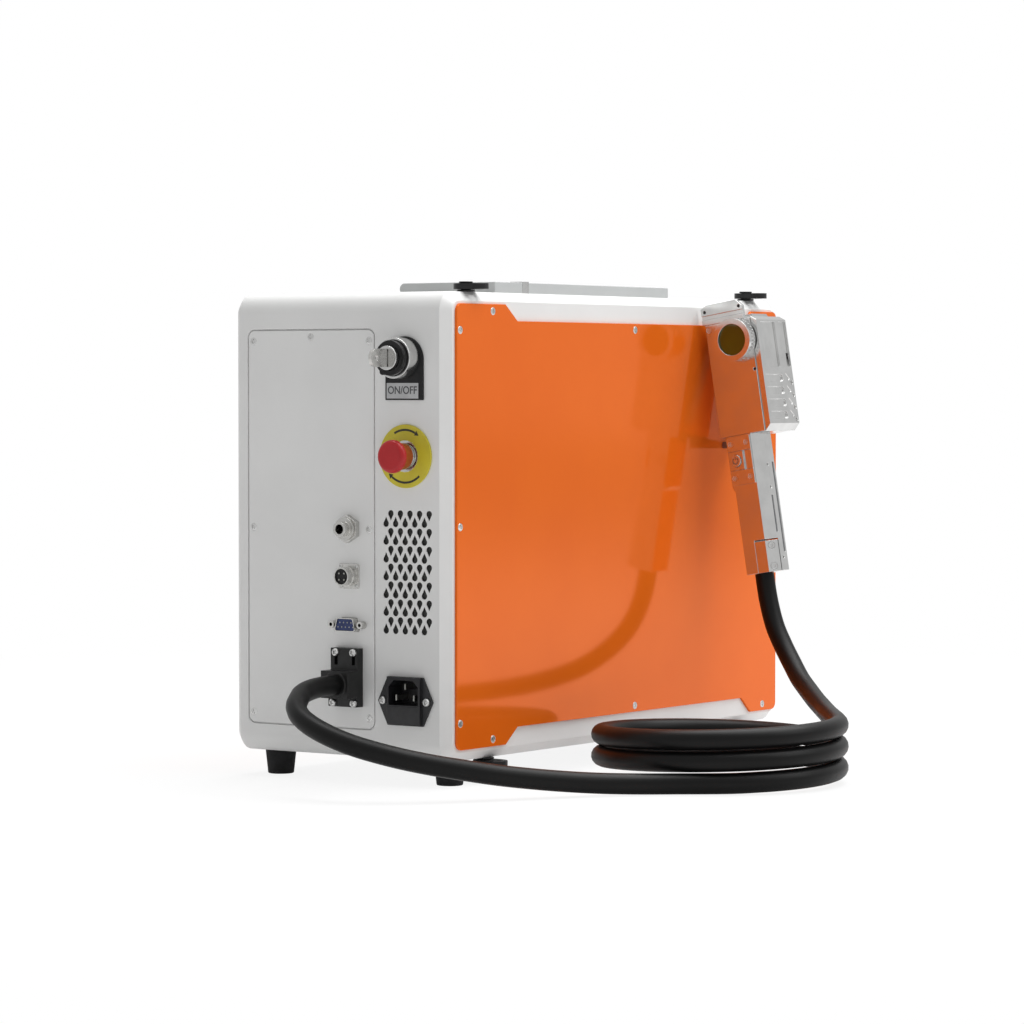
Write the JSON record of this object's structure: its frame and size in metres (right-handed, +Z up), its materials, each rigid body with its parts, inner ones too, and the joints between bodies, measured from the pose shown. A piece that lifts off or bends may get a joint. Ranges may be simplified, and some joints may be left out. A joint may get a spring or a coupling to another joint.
{
  "type": "laser cleaning machine",
  "caption": "Portable laser cleaning machine: a box cabinet with side panels, a connector face and a carrying handle, and a scanning gun on a coiled hose.",
  "frame": {"origin": "on the ground under the middle of the bounding box of the machine without its hose", "axes": "+Z up; -X out of the connector face; -Y out of the side with the gun"},
  "size_m": [0.556, 0.4048, 0.3526],
  "materials": {
    "white_powder_coat": "fine-textured powder coat on folded sheet steel",
    "orange_paint": "smooth gloss paint on sheet steel",
    "screw_steel": "zinc plated steel",
    "foot_rubber": "moulded rubber",
    "zinc_sheet": "zinc coated sheet",
    "cast_aluminium": "cast and milled",
    "circuit_board": "solder resist on glass laminate",
    "black_plastic": "moulded",
    "guard_wire": "bright plated wire",
    "legend_black": "moulded, satin",
    "chromed_zinc": "satin chrome",
    "black_gloss": "moulded, smooth",
    "key_nickel": "nickel plated brass",
    "contact_plastic": "moulded",
    "stop_yellow": "satin printed plastic",
    "stop_dark_red": "moulded",
    "stop_red": "moulded",
    "inlet_black": "moulded, fine spark texture",
    "black_anodised": "black anodised",
    "connector_nickel": "nickel plated",
    "connector_blue": "moulded",
    "contact_gold": "gold flashed",
    "handle_grey": "powder coat",
    "bracket_steel": "bent sheet",
    "strap_black": "black coated steel",
    "gun_aluminium": "milled and fine blasted",
    "amber_glass": "coated protective window",
    "button_steel": "turned",
    "motor_black": "satin",
    "mirror_coat": "coated glass",
    "hose_rubber": "smooth rubber cover"
  },
  "bodies": {
    "cabinet": {"shell": "white_powder_coat", "service_panel": "white_powder_coat", "side_panel_right": "orange_paint", "side_panel_left": "orange_paint", "panel_screws": "screw_steel", "pan_screws": "screw_steel", "connector_screws": "screw_steel", "feet": "foot_rubber", "chassis_tray": "zinc_sheet", "laser_source": "cast_aluminium", "power_supply": "zinc_sheet", "control_board": "circuit_board", "fan_frame": "black_plastic", "fan_guard": "guard_wire", "key_legend_plate": "legend_black", "key_bezel": "chromed_zinc", "key_barrel": "black_gloss", "contact_blocks": "contact_plastic", "estop_ring": "stop_yellow", "estop_bezel": "chromed_zinc", "inlet_body": "inlet_black", "hose_block": "black_anodised", "dsub_shell": "connector_nickel", "dsub_insert": "connector_blue", "connector_pins": "contact_gold", "dsub_jackscrews": "connector_nickel", "signal_socket": "connector_nickel", "signal_insert": "black_plastic", "gas_port": "connector_nickel", "gas_nut": "connector_nickel", "handle_brackets": "bracket_steel", "strap_hubs": "strap_black", "gun_holder": "bracket_steel", "hose_lead": "hose_rubber", "hose_coil": "hose_rubber", "hose_riser": "hose_rubber"},
    "lock_rotor": {"key_rotor": "chromed_zinc", "key": "key_nickel"},
    "stop_stem": {"estop_stem": "stop_dark_red"},
    "stop_head": {"estop_head": "stop_red"},
    "drawer": {"fuse_drawer": "inlet_black"},
    "strap_1": {"strap_ring_1": "strap_black"},
    "strap_2": {"strap_ring_2": "strap_black"},
    "strap_3": {"strap_ring_3": "strap_black"},
    "strap_4": {"strap_ring_4": "strap_black"},
    "handle": {"handle_bail": "handle_grey", "handle_pad": "chromed_zinc"},
    "fan_wheel": {"fan_rotor": "black_plastic"},
    "gun": {"gun_head": "gun_aluminium", "gun_cover": "gun_aluminium", "gun_top_plate": "gun_aluminium", "lens_ring": "gun_aluminium", "gun_window": "amber_glass", "gun_grip": "gun_aluminium", "button_plate": "gun_aluminium", "gun_screws": "screw_steel", "galvo_motor": "motor_black", "hose_clamp": "gun_aluminium"},
    "button": {"gun_button": "button_steel"},
    "mirror": {"galvo_mirror": "mirror_coat"}
  },
  "joints": [
    {"name": "key_turn", "type": "hinge", "parent": "cabinet", "child": "lock_rotor", "pos_m": [-0.203, -0.0241, 0.29698], "axis": [1, 0, 0], "range_deg": [0, 90]},
    {"name": "estop_push", "type": "slide", "parent": "cabinet", "child": "stop_stem", "axis": [1, 0, 0], "range_m": [0, 0.0025], "stiffness_N_per_m": 2000},
    {"name": "estop_twist", "type": "hinge", "parent": "stop_stem", "child": "stop_head", "pos_m": [-0.203, -0.0255, 0.22925], "axis": [1, 0, 0], "range_deg": [0, 35], "stiffness_Nm_per_rad": 0.02},
    {"name": "fuse_drawer_slide", "type": "slide", "parent": "cabinet", "child": "drawer", "axis": [-1, 0, 0], "range_m": [0, 0.018]},
    {"name": "strap_ring_1_swivel", "type": "hinge", "parent": "cabinet", "child": "strap_1", "pos_m": [-0.168, -0.0511, 0.343], "axis": [0, 0, 1], "continuous": true},
    {"name": "strap_ring_2_swivel", "type": "hinge", "parent": "cabinet", "child": "strap_2", "pos_m": [0.204, -0.0511, 0.343], "axis": [0, 0, 1], "continuous": true},
    {"name": "strap_ring_3_swivel", "type": "hinge", "parent": "cabinet", "child": "strap_3", "pos_m": [-0.145, -0.0511, 0.018], "axis": [0, 0, 1], "range_deg": [-55, 55]},
    {"name": "strap_ring_4_swivel", "type": "hinge", "parent": "cabinet", "child": "strap_4", "pos_m": [0.181, -0.0511, 0.018], "axis": [0, 0, 1], "range_deg": [-55, 55]},
    {"name": "handle_fold", "type": "hinge", "parent": "cabinet", "child": "handle", "pos_m": [0.018, 0.05435, 0.34755], "axis": [-1, 0, 0], "range_deg": [0, 90]},
    {"name": "fan_spin", "type": "hinge", "parent": "cabinet", "child": "fan_wheel", "pos_m": [0.225, 0.034, 0.255], "axis": [1, 0, 0], "continuous": true},
    {"name": "gun_lift", "type": "slide", "parent": "cabinet", "child": "gun", "axis": [0, 0, 1], "range_m": [0, 0.03]},
    {"name": "gun_button_press", "type": "slide", "parent": "gun", "child": "button", "axis": [1, 0, 0], "range_m": [0, 0.001], "stiffness_N_per_m": 1500},
    {"name": "galvo_swing", "type": "hinge", "parent": "gun", "child": "mirror", "pos_m": [0.14091, -0.0955, 0.3119], "axis": [0, 0.9869, -0.1616], "range_deg": [-10, 10], "stiffness_Nm_per_rad": 0.05}
  ]
}
